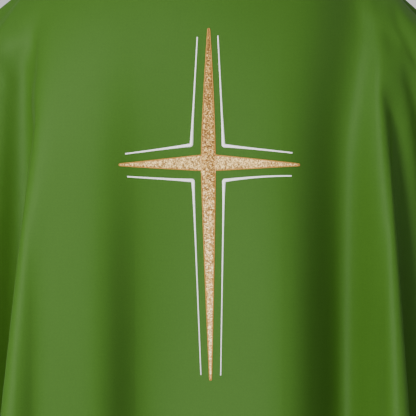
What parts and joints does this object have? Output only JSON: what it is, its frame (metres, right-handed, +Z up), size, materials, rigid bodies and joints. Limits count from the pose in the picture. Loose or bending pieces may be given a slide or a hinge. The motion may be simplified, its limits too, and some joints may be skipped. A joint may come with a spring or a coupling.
{
  "type": "chasuble",
  "caption": "Wide sleeveless vestment of green cloth with a long embroidered gold and silver cross on the front, shaped as it hangs from the shoulders.",
  "frame": {"origin": "midway between the two neck points, where the shoulder seams start, on the line that rests on the wearer's shoulders", "axes": "+Z up, the front of the garment faces -Y, +X to the viewer's right when facing the front"},
  "size_m": [1.28, 0.3227, 1.1737],
  "materials": {
    "cloth": "smooth plain-weave polyester, mid green, soft sheen",
    "facing": "the same green cloth, inner layers",
    "thread": "green sewing thread, satin",
    "gold_upright": "metallic gold embroidery thread, bronze towards the top",
    "gold_arms": "pale metallic gold embroidery thread, glittering",
    "gold_edge": "orange-gold satin stitch",
    "silver": "silver-white satin stitch",
    "backing": "white non-woven interlining",
    "label": "white woven tape, blank"
  },
  "bodies": {
    "root": {"front_panel": "cloth", "back_panel": "cloth", "front_hem_turnup": "facing", "back_hem_turnup": "facing", "front_hem_stitching": "thread", "back_hem_stitching": "thread", "shoulder_seam_allowance_left": "facing", "shoulder_seam_allowance_right": "facing", "collar": "cloth", "collar_interlining": "backing", "neck_facing_front": "facing", "neck_facing_back": "facing", "neck_stitching": "thread", "gold_upright": "gold_upright", "gold_upright_edge": "gold_edge", "gold_arm_left": "gold_arms", "gold_arm_edge_left": "gold_edge", "gold_arm_right": "gold_arms", "gold_arm_edge_right": "gold_edge", "silver_line_upper_left": "silver", "silver_line_upper_right": "silver", "silver_line_lower_left": "silver", "silver_line_lower_right": "silver", "embroidery_backing": "backing", "hanging_loop": "facing", "care_label": "label"}
  },
  "joints": []
}
